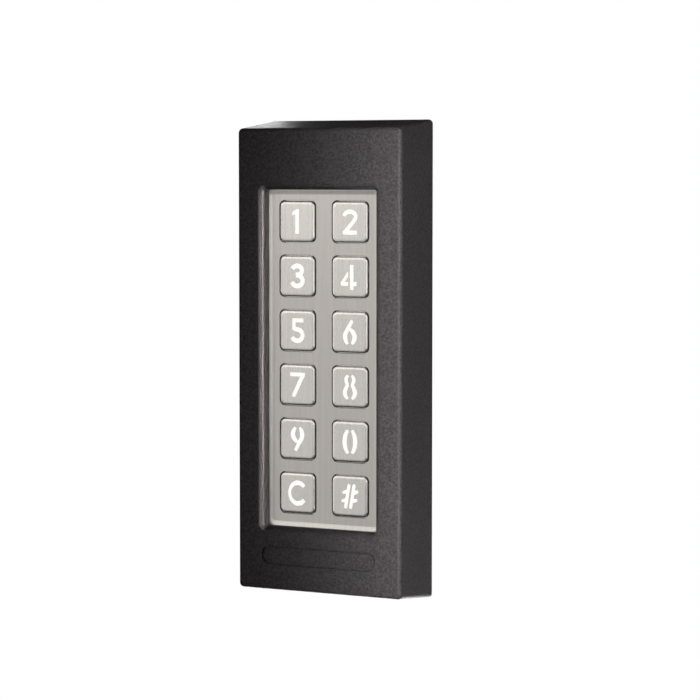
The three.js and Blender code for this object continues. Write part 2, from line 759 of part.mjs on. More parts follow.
// The lock screw, with a round socket in its head, that comes up through the housing's bottom wall.
function securityScrew() {
  const headBottom = -halfHeightAt(SECURITY_SCREW.y) + 2 * GAP;
  const headTop = headBottom + SECURITY_SCREW.headThick - GAP;
  const points = [
    [0, headBottom + SCREW_SOCKET.depth],
    [SCREW_SOCKET.radius, headBottom + SCREW_SOCKET.depth],
    [SCREW_SOCKET.radius, headBottom],
    [SECURITY_SCREW.head, headBottom],
    [SECURITY_SCREW.head, headTop],
    [SECURITY_SCREW.shank, headTop],
    [SECURITY_SCREW.shank, SECURITY_SCREW.top],
    [0, SECURITY_SCREW.top],
  ].map(([radius, z]) => new THREE.Vector2(radius, z));
  const geometry = new THREE.LatheGeometry(points, ROUND_STEPS);
  geometry.rotateX(Math.PI / 2);
  geometry.translate(0, SECURITY_SCREW.y, 0);
  return solid(geometry);
}

addPart("back_plate", backPlate(), "steel");
addPart("rear_gasket", rearGasket(), "rubber");
addPart("cable_grommet", cableGrommet(), "rubber");
addPart("security_screw", securityScrew(), "screw");

export default group;
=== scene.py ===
import math

import bmesh
import bpy
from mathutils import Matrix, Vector

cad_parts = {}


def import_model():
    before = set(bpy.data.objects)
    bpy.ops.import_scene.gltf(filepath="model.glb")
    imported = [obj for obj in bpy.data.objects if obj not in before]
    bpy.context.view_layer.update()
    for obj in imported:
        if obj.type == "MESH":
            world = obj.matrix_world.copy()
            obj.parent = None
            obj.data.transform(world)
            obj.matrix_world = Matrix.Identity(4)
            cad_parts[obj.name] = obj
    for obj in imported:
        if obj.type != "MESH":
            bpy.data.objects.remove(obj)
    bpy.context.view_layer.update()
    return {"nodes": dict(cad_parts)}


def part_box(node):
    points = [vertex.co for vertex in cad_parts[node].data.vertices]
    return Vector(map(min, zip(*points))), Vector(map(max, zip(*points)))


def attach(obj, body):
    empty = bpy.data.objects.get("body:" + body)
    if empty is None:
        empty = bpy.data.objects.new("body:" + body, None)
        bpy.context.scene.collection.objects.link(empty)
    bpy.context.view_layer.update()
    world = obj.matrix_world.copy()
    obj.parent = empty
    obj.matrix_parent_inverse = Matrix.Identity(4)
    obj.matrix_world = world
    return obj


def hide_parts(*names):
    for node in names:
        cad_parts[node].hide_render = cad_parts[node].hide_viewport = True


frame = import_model()

MM = 0.001
BODY = "keypad_case"

# ---------------------------------------------------------------- camera

camera_data = bpy.data.cameras.new("camera")
camera_data.sensor_width = 36
camera_data.lens = 130.755
camera = bpy.data.objects.new("camera", camera_data)
camera.location = (0.350239, -0.694147, 0.055621)
camera.rotation_euler = (math.radians(86.073), 0, math.radians(26.811))
bpy.context.scene.collection.objects.link(camera)
bpy.context.scene.camera = camera

# ---------------------------------------------------------------- sizes, in mm

KEY_NAMES = ["1", "2", "3", "4", "5", "6", "7", "8", "9", "0", "clear", "hash"]
CORNER_STEPS = 8
ARC_STEPS = 10
SMALL_ARC_STEPS = 3
PAST = 1.0  # a cutting shape runs this far past the face it cuts
SUNK = 0.5  # a joined shape runs this far into its neighbour

housing_low, housing_high = (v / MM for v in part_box("front_housing"))
plate_low, plate_high = (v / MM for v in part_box("keypad_plate"))
grommet_low, grommet_high = (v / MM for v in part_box("cable_grommet"))
grommet_centre = (grommet_low + grommet_high) / 2
bolt_low, bolt_high = (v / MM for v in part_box("security_screw"))
bolt_centre = ((bolt_low.x + bolt_high.x) / 2, (bolt_low.y + bolt_high.y) / 2, 0)

HOUSING = {
    "half_width": housing_high.x,
    "front": housing_low.y,
    "back": housing_high.y,
    "front_half_height": 69.7,
    "back_half_height": 72.45,
    "corner": 1.4,
    "smallest_corner": 0.25,
    "edge": 1.25,
    "back_edge": 0.35,
    "side_wall": 2.5,
    "end_wall": 3.0,
    "cavity_corner": 1.5,
    "pillar_radius": 2.8,
}
WINDOW = {
    "half_width": 18.6,
    "half_height": 51.0,
    "z": (plate_low.z + plate_high.z) / 2,
    "corner": 0.8,
    "rim": 2.0,
    "grooves": (31, 69),
}
GROOVE = {"half_angle": 6, "depth": 0.07}
RIM_STEP = 6  # degrees
# Flank faces whose normal X is above this get the painted highlight colour.
FACES_RIGHT = 0.15  # the least X of a normal on the window's left flank
GAP = 0.3
SEAL = {"inset": 1.5, "width": 1.4, "depth": 1.0}
# flat is left between the two arcs at each end of the oval. soft is a share of the line's width and depth.
BADGE = {
    "z": -59.1,
    "half_length": 19.45,
    "half_height": 3.05,
    "line": 0.8,
    "depth": 0.65,
    "flat": 0.01,
    "soft": 0.2,
}
PLATE = {"corner": 2.0, "edge_corner": 2.0, "opening_lip": 0.07}
# The plate's pressed-up edge: (distance in from the foot of the window, rise from the plate's face).
RAISED_EDGE = [
    (1.5, -0.3), (1.5, 0.005), (1.2, 0.05), (0.85, 0.13),
    (0.45, 0.23), (0.2, 0.29), (0.06, 0.29), (0.06, -0.3),
]
CAP = {"corner": 1.6, "lip": 1.0, "face": 0.8, "slit": 0.32, "pocket_corner": 0.4}
# (distance in from the cap's edge, fall from its face): a gentle slope, then a tight round.
CAP_ROLL = [
    (0.95, 0), (0.75, 0.012), (0.55, 0.04), (0.38, 0.08), (0.24, 0.125),
    (0.13, 0.18), (0.05, 0.25), (0.01, 0.32), (0, 0.4),
]
LIGHT = {"edge": 0.25, "corner": 0.3}
BACK = {"half_width": 24.5, "half_height": 68.6, "corner": 1.5, "thick": 2}
GASKET = {"soft": 0.15, "hole_margin": 0.5}
HOOK = {"inner": 8, "outer": 16, "bottom": 64.6, "thick": 1.5, "front": -9, "lip": 1.3, "top": 68}
FOOT = {"half_width": 8, "bottom": -67.6, "thick": 2.4, "front": -11}
SCREWS = 4  # on the carrier, and again on the control board
MOUNTING_HOLES_Z = (57, -58)
MOUNTING_HOLE = 2.75
GROMMET = {"bore": 3.5, "neck": 5.7, "flange": 7.2, "soft": 0.35}
BOLT = {"shank": 1.5, "head_thick": 1.3, "point": 0.5, "point_taper": 0.4}
# The button head: (share of its radius, height above its lowest point).
BOLT_DOME = [(0.55, 0), (0.82, 0.18), (1, 0.6)]
SOCKET = {"radius": 1.25, "depth": 0.9, "sides": 6}
PIN = {"radius": 0.35, "below": 0.25, "depth": 1.1, "sides": 20}
BOLT_BORE = {"ledge": 1.2, "seat": 1.9, "length": 6}
LEGEND_RECESS = 0.1
LEGEND_CLEARANCE = 0.05
LEGEND_SUNK = 0.4
LEGEND_PAST = 0.1


# ---------------------------------------------------------------- mesh helpers

def new_object(name, mesh):
    made = bpy.data.objects.new(name, mesh)
    bpy.context.scene.collection.objects.link(made)
    return made


def rounded(half_width, half_height, radius, x=0.0, z=0.0, steps=CORNER_STEPS):
    """Points of a rounded rectangle in X and Z, anticlockwise seen from the front."""
    points = []
    for corner in range(4):
        right = 1 if corner in (0, 3) else -1
        up = 1 if corner < 2 else -1
        for i in range(steps + 1):
            angle = (corner + i / steps) * math.pi / 2
            points.append((
                x + right * (half_width - radius) + radius * math.cos(angle),
                z + up * (half_height - radius) + radius * math.sin(angle),
            ))
    return points


def at(y, points):
    return [(x, y, z) for x, z in points]


def loft(name, rings, closed=False):
    """A closed mesh through rings with equal numbers of points. closed joins the last ring to the first."""
    bm = bmesh.new()
    loops = [[bm.verts.new(Vector(p) * MM) for p in ring] for ring in rings]
    count = len(rings[0])
    pairs = list(zip(loops, loops[1:]))
    if closed:
        pairs.append((loops[-1], loops[0]))
    else:
        bm.faces.new(loops[0])
        bm.faces.new(list(reversed(loops[-1])))
    for a, b in pairs:
        for i in range(count):
            j = (i + 1) % count
            bm.faces.new((a[i], b[i], b[j], a[j]))
    bmesh.ops.recalc_face_normals(bm, faces=bm.faces)
    mesh = bpy.data.meshes.new(name)
    bm.to_mesh(mesh)
    bm.free()
    return new_object(name, mesh)


def prism(name, points, y_front, y_back):
    return loft(name, [at(y_front, points), at(y_back, points)])


def turned(name, profile, centre, axis="Y", sides=48, closed=False):
    """A turned solid from a profile of (radius, distance along the axis).

    closed joins the profile's ends, which leaves a bore through the solid.
    """
    rings = []
    for radius, along in profile:
        ring = []
        for i in range(sides):
            angle = 2 * math.pi * i / sides
            a, b = radius * math.cos(angle), radius * math.sin(angle)
            offset = (a, along, b) if axis == "Y" else (a, -b, along)
            ring.append(tuple(c + o for c, o in zip(centre, offset)))
        rings.append(ring)
    return loft(name, rings, closed)


def block(name, low, high):
    outline = [(low[0], low[2]), (high[0], low[2]), (high[0], high[2]), (low[0], high[2])]
    return prism(name, outline, low[1], high[1])


def carve(piece, tools, operation):
    """Joins the tools to the piece, or cuts them from it, and removes them."""
    for tool in tools:
        modifier = piece.modifiers.new("carve", "BOOLEAN")
        modifier.object = tool
        modifier.operation = operation
        modifier.solver = "EXACT"
    depsgraph = bpy.context.evaluated_depsgraph_get()
    mesh = bpy.data.meshes.new_from_object(piece.evaluated_get(depsgraph))
    old = piece.data
    piece.modifiers.clear()
    piece.data = mesh
    bpy.data.meshes.remove(old)
    mesh.name = piece.name
    for tool in tools:
        tool_mesh = tool.data
        bpy.data.objects.remove(tool)
        bpy.data.meshes.remove(tool_mesh)


def joined(name, pieces):
    """Pieces that don't touch, as one object."""
    bm = bmesh.new()
    for piece in pieces:
        bm.from_mesh(piece.data)
        old = piece.data
        bpy.data.objects.remove(piece)
        bpy.data.meshes.remove(old)
    mesh = bpy.data.meshes.new(name)
    bm.to_mesh(mesh)
    bm.free()
    return new_object(name, mesh)


def smooth(piece, degrees=32):
    piece.data.polygons.foreach_set("use_smooth", [True] * len(piece.data.polygons))
    piece.data.set_sharp_from_angle(angle=math.radians(degrees))
    modifier = piece.modifiers.new("normals", "WEIGHTED_NORMAL")
    modifier.keep_sharp = True
    modifier.weight = 100


def finish_piece(piece, material, slot, body, *nodes):
    smooth(piece)
    piece.data.materials.clear()
    piece.data.materials.append(material)
    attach(piece, body)
    if nodes:
        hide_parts(*nodes)


# ---------------------------------------------------------------- materials

class Surface:
    """One procedural material. Object coordinates are metres, so a scale of 1000 gives 1 mm grain."""

    def __init__(self, name, color, roughness, metallic=0.0, **sockets):
        self.material = bpy.data.materials.new(name)
        self.material.use_nodes = True
        self.tree = self.material.node_tree
        self.shader = self.tree.nodes["Principled BSDF"]
        self.shader.inputs["Base Color"].default_value = (*color, 1)
        self.shader.inputs["Roughness"].default_value = roughness
        self.shader.inputs["Metallic"].default_value = metallic
        for socket, value in sockets.items():
            self.shader.inputs[socket.replace("_", " ")].default_value = value
        self.coordinates = self.tree.nodes.new("ShaderNodeTexCoord").outputs["Object"]
        self.bump_node = None

    def node(self, kind, **inputs):
        made = self.tree.nodes.new(kind)
        for name, value in inputs.items():
            socket = made.inputs[name.replace("_", " ")]
            if isinstance(value, bpy.types.NodeSocket):
                self.tree.links.new(value, socket)
            else:
                socket.default_value = value
        return made

    def noise(self, scale, stretch=(1, 1, 1), detail=2.0, roughness=0.5):
        mapped = self.node("ShaderNodeMapping", Vector=self.coordinates, Scale=stretch)
        made = self.node(
            "ShaderNodeTexNoise",
            Vector=mapped.outputs["Vector"],
            Scale=scale,
            Detail=detail,
            Roughness=roughness,
        )
        return made.outputs["Fac"]

    def cells(self, scale):
        made = self.node("ShaderNodeTexVoronoi", Vector=self.coordinates, Scale=scale)
        return made.outputs["Distance"]

    def ranged(self, value, low, high, start=0.3, end=0.7):
        made = self.node("ShaderNodeMapRange", Value=value)
        made.inputs["From Min"].default_value = start
        made.inputs["From Max"].default_value = end
        made.inputs["To Min"].default_value = low
        made.inputs["To Max"].default_value = high
        return made.outputs["Result"]

    def colours(self, value, low, high, start=0.3, end=0.7):
        ramp = self.node("ShaderNodeValToRGB", Fac=value)
        ramp.color_ramp.elements[0].position = start
        ramp.color_ramp.elements[0].color = (*low, 1)
        ramp.color_ramp.elements[1].position = end
        ramp.color_ramp.elements[1].color = (*high, 1)
        return ramp.outputs["Color"]

    def feed(self, socket, value):
        self.tree.links.new(value, self.shader.inputs[socket])
        return self

    def bump(self, height, distance, strength=1.0):
        made = self.node("ShaderNodeBump", Height=height, Strength=strength, Distance=distance)
        if self.bump_node:
            self.tree.links.new(self.bump_node.outputs["Normal"], made.inputs["Normal"])
        self.bump_node = made
        self.tree.links.new(made.outputs["Normal"], self.shader.inputs["Normal"])
        return self


def shade(color, factor):
    return tuple(c * factor for c in color)


def powder_coat():
    color = (0.021, 0.0198, 0.0205)
    made = Surface("housing_paint", color, 0.5, Specular_IOR_Level=0.07)
    grain = made.noise(2600, detail=3)
    made.feed("Roughness", made.ranged(grain, 0.42, 0.58))
    speckle = made.noise(1500, detail=2)
    made.feed("Base Color", made.colours(speckle, shade(color, 0.62), shade(color, 1.38)))
    made.bump(speckle, 0.00022, 0.6)
    made.bump(grain, 0.00006, 0.5)
    return made.material


def reveal_painted_highlight():
    """The same black, smoother and partly metallic. Its lighter colour is a painted highlight for the light
    falling on the reveal.
    """
    color = (0.085, 0.078, 0.077)
    made = Surface("reveal_painted_highlight", color, 0.36, 0.25)
    marks = made.noise(1900, detail=3)
    made.feed("Base Color", made.colours(marks, shade(color, 0.75), shade(color, 1.2)))
    made.feed("Roughness", made.ranged(marks, 0.3, 0.44))
    made.bump(marks, 0.00003, 0.4)
    return made.material


def brushed(name, color, roughness, streak=(1, 1, 0.02), depth=0.000012, spread=0.05):
    """Metal with fine brush lines along Z."""
    made = Surface(name, color, roughness, 1.0)
    fine = made.noise(7000, streak, 3)
    broad = made.noise(1500, streak, 2)
    made.feed("Roughness", made.ranged(fine, roughness - spread, roughness + spread))
    made.feed("Base Color", made.colours(broad, shade(color, 0.95), shade(color, 1.04)))
    made.bump(fine, depth, 0.6)
    made.bump(broad, depth, 0.4)
    return made.material


def moulded(name, color, roughness, grain=1800, depth=0.00004):
    made = Surface(name, color, roughness)
    fine = made.noise(grain, detail=3)
    patches = made.noise(90)
    made.feed("Roughness", made.ranged(fine, roughness - 0.07, roughness + 0.07))
    made.feed("Base Color", made.colours(patches, shade(color, 0.85), shade(color, 1.12)))
    made.bump(fine, depth, 0.5)
    return made.material


def solder_mask():
    """Green lacquer over copper tracks, which show as lighter raised cells."""
    color = (0.012, 0.1, 0.04)
    made = Surface("circuit_board", color, 0.3, Coat_Weight=0.4)
    tracks = made.cells(420)
    made.feed("Base Color", made.colours(tracks, shade(color, 1.5), color, 0.28, 0.32))
    made.feed("Roughness", made.ranged(made.noise(900), 0.25, 0.4))
    made.bump(tracks, 0.00002, 0.4)
    return made.material


def glowing_legend():
    """Milky plastic lit from behind, a little uneven."""
    made = Surface("legend_white", (0.9, 0.89, 0.86), 0.35, Emission_Strength=0.85)
    cloud = made.noise(260, detail=2)
    made.feed("Emission Color", made.colours(cloud, (0.93, 0.915, 0.885), (1.0, 0.985, 0.96)))
    made.bump(made.noise(2400), 0.00002, 0.3)
    return made.material


def galvanised():
    """Zinc-plated sheet: large faint crystals over a fine mottle."""
    color = (0.44, 0.445, 0.45)
    made = Surface("back_plate_steel", color, 0.38, 1.0)
    crystals = made.cells(160)
    made.feed("Base Color", made.colours(crystals, shade(color, 0.82), shade(color, 1.1), 0.1, 0.7))
    made.feed("Roughness", made.ranged(made.noise(900), 0.3, 0.48))
    made.bump(made.noise(2600), 0.00002, 0.4)
    return made.material


MATERIALS = {
    "housing_paint": powder_coat(),
    # The reveal's lighter colour is a painted highlight, not the housing's own finish.
    "reveal_painted_highlight": reveal_painted_highlight(),
    "plate_steel": brushed("plate_steel", (0.52, 0.503, 0.48), 0.34),
    "key_steel": brushed("key_steel", (0.66, 0.643, 0.617), 0.3, depth=0.000006),
    "legend_white": glowing_legend(),
    "black_rubber": moulded("black_rubber", (0.034, 0.034, 0.035), 0.75, 1400, 0.00006),
    "silicone": moulded("silicone", (0.5, 0.51, 0.5), 0.55),
    "circuit_board": solder_mask(),
    "black_plastic": moulded("black_plastic", (0.018, 0.018, 0.02), 0.5),
    "white_plastic": moulded("white_plastic", (0.72, 0.72, 0.7), 0.42),
    "terminal_plastic": moulded("terminal_plastic", (0.02, 0.14, 0.055), 0.48),
    "capacitor_can": brushed("capacitor_can", (0.62, 0.62, 0.64), 0.3),
    "back_plate_steel": galvanised(),
    "screw_steel": brushed("screw_steel", (0.5, 0.5, 0.49), 0.27, streak=(1, 1, 1)),
}

# ---------------------------------------------------------------- housing


def half_height_at(y):
    share = (y - HOUSING["front"]) / -HOUSING["front"]
    rise = HOUSING["back_half_height"] - HOUSING["front_half_height"]
    return HOUSING["front_half_height"] + share * rise


def outer_ring(y, inset):
    radius = max(HOUSING["corner"] - inset, HOUSING["smallest_corner"])
    return at(y, rounded(HOUSING["half_width"] - inset, half_height_at(y) - inset, radius))


def window_ring(y, spread):
    return at(y, rounded(
        WINDOW["half_width"] + spread,
        WINDOW["half_height"] + spread,
        WINDOW["corner"] + spread,
        0,
        WINDOW["z"],
    ))


def cavity_ring(y):
    return at(y, rounded(
        HOUSING["half_width"] - HOUSING["side_wall"],
        half_height_at(y) - HOUSING["end_wall"],
        HOUSING["cavity_corner"],
    ))


def rim_profile():
    """(y, spread) round the window's rim: a quarter circle with two fine grooves run along it."""
    points = []
    for degrees in range(0, 91, RIM_STEP):
        if all(abs(degrees - groove) > GROOVE["half_angle"] for groove in WINDOW["grooves"]):
            points.append((degrees, 0))
    for groove in WINDOW["grooves"]:
        for side in (-1, 0, 1):
            points.append((groove + side * GROOVE["half_angle"], 0 if side else GROOVE["depth"]))
    rim = WINDOW["rim"]
    profile = []
    for degrees, sunk in sorted(points):
        angle = math.radians(degrees)
        radius = rim - sunk
        profile.append((
            HOUSING["front"] + rim - radius * math.cos(angle),
            rim - radius * math.sin(angle),
        ))
    return profile


def housing_rings():
    """From the rear edge over the outside, in through the window and out along the cavity's walls."""
    rings = []
    back, front = HOUSING["back"], HOUSING["front"]
    small, edge = HOUSING["back_edge"], HOUSING["edge"]
    for i in range(SMALL_ARC_STEPS + 1):
        angle = i / SMALL_ARC_STEPS * math.pi / 2
        rings.append(outer_ring(back - small * (1 - math.cos(angle)), small * (1 - math.sin(angle))))
    for i in range(ARC_STEPS + 1):
        angle = (1 - i / ARC_STEPS) * math.pi / 2
        rings.append(outer_ring(front + edge * (1 - math.cos(angle)), edge * (1 - math.sin(angle))))
    inner = plate_low.y - GAP
    for y, spread in rim_profile():
        rings.append(window_ring(y, spread))
    seal_front = inner - SEAL["depth"]
    rings.append(window_ring(inner, 0))
    rings.append(window_ring(inner, SEAL["inset"] - GAP))
    rings.append(window_ring(seal_front, SEAL["inset"] - GAP))
    rings.append(window_ring(seal_front, SEAL["inset"] + SEAL["width"] + GAP))
    rings.append(window_ring(inner, SEAL["inset"] + SEAL["width"] + GAP))
    rings.append(cavity_ring(inner))
    rings.append(cavity_ring(back))
    return rings


def badge_groove():
    """The engraved line round the blank oval field."""
    front = HOUSING["front"]

    def oval(inset, y):
        half_length = BADGE["half_length"] - inset
        half_height = BADGE["half_height"] - inset
        return at(y, rounded(half_length, half_height, half_height - BADGE["flat"], 0, BADGE["z"]))

    line, depth, soft = BADGE["line"], BADGE["depth"], BADGE["soft"]
    return loft("badge_groove", [
        oval(0, front - PAST),
        oval(0, front + depth * (1 - soft)),
        oval(line * soft, front + depth),
        oval(line * (1 - soft), front + depth),
        oval(line, front + depth * (1 - soft)),
        oval(line, front - PAST),
    ], closed=True)


def security_bore():
    """The hole up through the bottom wall, wider below for the screw's head."""
    head = (bolt_high.x - bolt_low.x) / 2 + GAP
    shank = head - BOLT_BORE["ledge"]
    seat = bolt_low.z + BOLT_BORE["seat"]
    return turned("security_bore", [
        (head, -HOUSING["back_half_height"] - PAST),
        (head, seat),
        (shank, seat),
        (shank, seat + BOLT_BORE["length"]),
    ], bolt_centre, "Z")


def pillars():
    """The four posts inside that the board carrier is screwed to."""
    made = []
    radius = HOUSING["pillar_radius"]
    y_front = plate_low.y - GAP - SUNK
    y_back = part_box("board_carrier")[0].y / MM - GAP
    for i in range(1, SCREWS + 1):
        low, high = (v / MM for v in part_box("carrier_screw_%d" % i))
        centre = ((low.x + high.x) / 2, 0, (low.z + high.z) / 2)
        made.append(turned("pillar", [(radius, y_front), (radius, y_back)], centre))
    return made


def paint_reveal_highlight(piece):
    """Gives the window's left flank the smoother material with a painted highlight: a colour a little
    lighter than the textured outside, where light from the right falls.
    """
    piece.data.materials.append(MATERIALS["reveal_painted_highlight"])
    front, inner = HOUSING["front"] * MM, (plate_low.y - GAP) * MM
    reach_x = (WINDOW["half_width"] + WINDOW["rim"]) * MM
    reach_z = (WINDOW["half_height"] + WINDOW["rim"]) * MM
    for face in piece.data.polygons:
        x, y, z = face.center
        inside = abs(x) < reach_x and abs(z - WINDOW["z"] * MM) < reach_z
        # Only faces turned to the right, towards the light, get the painted highlight.
        if inside and front < y < inner and face.normal.x > FACES_RIGHT:
            face.material_index = 1


housing = loft("housing_shell", housing_rings(), closed=True)
carve(housing, pillars(), "UNION")
carve(housing, [badge_groove(), security_bore()], "DIFFERENCE")
finish_piece(housing, MATERIALS["housing_paint"], "housing_paint", BODY, "front_housing")
paint_reveal_highlight(housing)

# ---------------------------------------------------------------- key plate


def key_centre(name):
    """The centre of a key and half its size, flange included."""
    low, high = (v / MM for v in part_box("key_cap_" + name))
    return (low + high) / 2, (high - low) / 2


def key_opening(name):
    """What is cut from the plate round a key, with a small rounded lip."""
    centre, half = key_centre(name)
    lip = PLATE["opening_lip"]
    half_width = half.x - CAP["lip"] + CAP["slit"]
    half_height = half.z - CAP["lip"] + CAP["slit"]
    front = plate_low.y

    def ring(y, spread):
        radius = CAP["corner"] + CAP["slit"] + spread
        return at(y, rounded(half_width + spread, half_height + spread, radius, centre.x, centre.z))

    rings = [ring(front - PAST, lip)]
    for i in range(SMALL_ARC_STEPS + 1):
        angle = i / SMALL_ARC_STEPS * math.pi / 2
        rings.append(ring(front + lip * (1 - math.cos(angle)), lip * (1 - math.sin(angle))))
    rings.append(ring(plate_high.y + PAST, 0))
    return loft("key_opening", rings)


def key_plate():
    half_width = (plate_high.x - plate_low.x) / 2
    half_height = (plate_high.z - plate_low.z) / 2
    outline = rounded(half_width, half_height, PLATE["corner"], 0, WINDOW["z"])
    made = prism("key_plate", outline, plate_low.y, plate_high.y)
    carve(made, [raised_edge()], "UNION")
    carve(made, [joined("openings", [key_opening(name) for name in KEY_NAMES])], "DIFFERENCE")
    return made


def raised_edge():
    """The plate's pressed-up edge, just inside the foot of the window."""
    rings = []
    for inset, rise in RAISED_EDGE:
        rings.append(at(plate_low.y - rise, rounded(
            WINDOW["half_width"] - inset,
            WINDOW["half_height"] - inset,
            PLATE["edge_corner"] - inset,
            0,
            WINDOW["z"],
        )))
    return loft("raised_edge", rings, closed=True)


plate = key_plate()
finish_piece(plate, MATERIALS["plate_steel"], "plate_steel", BODY, "keypad_plate")

# ---------------------------------------------------------------- legends

# Every legend is a list of flat outlines in mm about the key's centre.


def stroke(points, widths):
    """The outline of a line through the points, with its half width at each."""
    if not isinstance(widths, (list, tuple)):
        widths = [widths] * len(points)
    left, right = [], []
    for i, (x, z) in enumerate(points):
        before = Vector(points[max(i - 1, 0)])
        after = Vector(points[min(i + 1, len(points) - 1)])
        along = (after - before).normalized()
        normal = Vector((-along.y, along.x)) * widths[i]
        left.append((x + normal.x, z + normal.y))
        right.append((x - normal.x, z - normal.y))
    return left + right[::-1]


def curve(points, widths, steps=5):
    """A smooth stroke through a few points."""
    path, sizes = [], []
    last = len(points) - 1
    for i in range(last):
        p0, p1 = Vector(points[max(i - 1, 0)]), Vector(points[i])
        p2, p3 = Vector(points[i + 1]), Vector(points[min(i + 2, last)])
        for s in range(steps):
            t = s / steps
            path.append(tuple(0.5 * (
                2 * p1 + (p2 - p0) * t + (2 * p0 - 5 * p1 + 4 * p2 - p3) * t ** 2
                + (3 * p1 - p0 - 3 * p2 + p3) * t ** 3
            )))
            sizes.append(widths[i] * (1 - t) + widths[i + 1] * t)
    path.append(points[last])
    sizes.append(widths[last])
    return stroke(path, sizes)


def arc_points(x, z, radius_x, radius_z, start, end, steps=16):
    made = []
    for i in range(steps + 1):
        angle = math.radians(start + (end - start) * i / steps)
        made.append((x + radius_x * math.cos(angle), z + radius_z * math.sin(angle)))
    return made


def box_outline(x0, x1, z0, z1):
    return [(x0, z0), (x1, z0), (x1, z1), (x0, z1)]


def turned_round(outlines):
    return [[(-x, -z) for x, z in outline] for outline in outlines]


def mirrored(outlines):
    return outlines + [[(-x, z) for x, z in reversed(outline)] for outline in outlines]


SIX = [
    curve(
        [(0.75, 3.5), (-0.45, 1.4), (-1.4, -0.3), (-1.6, -1.5), (-1.35, -2.6), (-0.75, -3.55)],
        [0.5, 0.58, 0.72, 0.74, 0.64, 0.4],
    ),
    curve(
        [(-0.15, 0.95), (0.8, 0.25), (1.4, -0.7), (1.55, -1.6), (1.25, -2.6), (0.65, -3.55)],
        [0.35, 0.66, 0.74, 0.74, 0.64, 0.4],
    ),
]
EIGHT_HALF = [curve(
    [
        (-0.6, 3.5), (-1.25, 2.6), (-1.2, 1.55), (-0.82, 0.6),
        (-1.3, -0.4), (-1.7, -1.6), (-1.4, -2.7), (-0.65, -3.55),
    ],
    [0.38, 0.56, 0.58, 0.5, 0.62, 0.72, 0.62, 0.4],
)]
LEGENDS = {
    "1": [[
        (0.6, -3.65), (0.6, 3.65), (-0.3, 3.65), (-1.7, 2.75),
        (-1.7, 1.75), (-0.65, 2.35), (-0.65, -3.65),
    ]],
    "2": [
        stroke(arc_points(0, 1.55, 1.95, 1.55, 172, -20) + [(1.3, 0.25), (-1.55, -2.9)], 0.6),
        box_outline(-2.4, 2.35, -3.7, -2.6),
    ],
    "3": [
        stroke(arc_points(0, 1.75, 1.65, 1.35, 165, -90) + [(-0.5, 0.35)], 0.68),
        stroke([(-0.5, 0.25)] + arc_points(0, -1.35, 1.85, 1.65, 90, -165), 0.68),
    ],
    "4": [
        [
            (-0.6, 1.8), (-3.05, -1.5), (-3.05, -2.55), (-0.6, -2.55),
            (-0.6, -1.55), (-1.85, -1.55), (-0.6, 0.1),
        ],
        [
            (0.0, -3.75), (1.2, -3.75), (1.2, -2.55), (2.2, -2.55),
            (2.2, -1.45), (1.2, -1.45), (1.2, 3.65), (0.0, 3.65),
        ],
    ],
    "5": [
        box_outline(-1.7, 2.1, 2.55, 3.65),
        box_outline(-1.7, -0.6, 0.1, 3.1),
        stroke([(-1.2, 0.3), (-0.8, 0.5)] + arc_points(-0.05, -1.35, 1.85, 1.7, 80, -158), 0.66),
    ],
    "6": SIX,
    "7": [
        box_outline(-2.45, 2.5, 2.6, 3.7),
        stroke([(1.85, 2.95), (-1.2, -3.1), (-1.36, -3.4), (-1.45, -3.6)], [0.65, 0.6, 0.5, 0.3]),
    ],
    "8": mirrored(EIGHT_HALF),
    "9": turned_round(SIX),
    "0": mirrored([curve(
        [(-0.7, 3.5), (-1.5, 1.9), (-1.75, 0), (-1.5, -1.9), (-0.7, -3.5)],
        [0.44, 0.66, 0.74, 0.66, 0.44],
    )]),
    "clear": [curve(
        arc_points(0.1, 0, 2.8, 3.15, 40, 320, 12),
        [0.6, 0.68, 0.68, 0.64, 0.58, 0.52, 0.5, 0.52, 0.58, 0.64, 0.68, 0.68, 0.6],
        3,
    )],
    "hash": [
        stroke([(-1.6, -3.65), (-1.45, -3.3), (-0.3, 3.3), (-0.2, 3.65)], [0.34, 0.54, 0.54, 0.34]),
        stroke([(0.1, -3.65), (0.25, -3.3), (1.4, 3.3), (1.6, 3.65)], [0.34, 0.54, 0.54, 0.34]),
        stroke([(-0.7, 1.5), (-2.2, 1.05), (-2.5, 0.95)], [0.48, 0.46, 0.3]),
        stroke([(-1.1, -1.0), (-2.5, -1.5), (-2.8, -1.6)], [0.48, 0.46, 0.3]),
        stroke([(1.1, 0.9), (2.5, 1.5), (2.8, 1.6)], [0.48, 0.46, 0.3]),
        stroke([(0.65, -1.5), (2.1, -1.05), (2.4, -0.95)], [0.48, 0.46, 0.3]),
    ],
}


def shrunk(outline, distance):
    """The outline moved inwards by the distance."""
    area = sum(
        x0 * z1 - x1 * z0 for (x0, z0), (x1, z1) in zip(outline, outline[1:] + outline[:1])
    )
    side = 1 if area > 0 else -1
    made = []
    count = len(outline)
    for i, point in enumerate(outline):
        here = Vector(point)
        before = (here - Vector(outline[i - 1])).normalized()
        after = (Vector(outline[(i + 1) % count]) - here).normalized()
        normal_before = Vector((-before.y, before.x)) * side
        normal_after = Vector((-after.y, after.x)) * side
        middle = (normal_before + normal_after).normalized()
        reach = distance / max(middle.dot(normal_before), 0.4)
        made.append(tuple(here + middle * reach))
    return made


def legend_tools(name, shrink, y_front, y_back):
    centre = key_centre(name)[0]
    tools = []
    for outline in LEGENDS[name]:
        placed = [(x + centre.x, z + centre.z) for x, z in shrunk(outline, shrink)]
        tools.append(prism("legend_tool", placed, y_front, y_back))
    return tools


# ---------------------------------------------------------------- keys


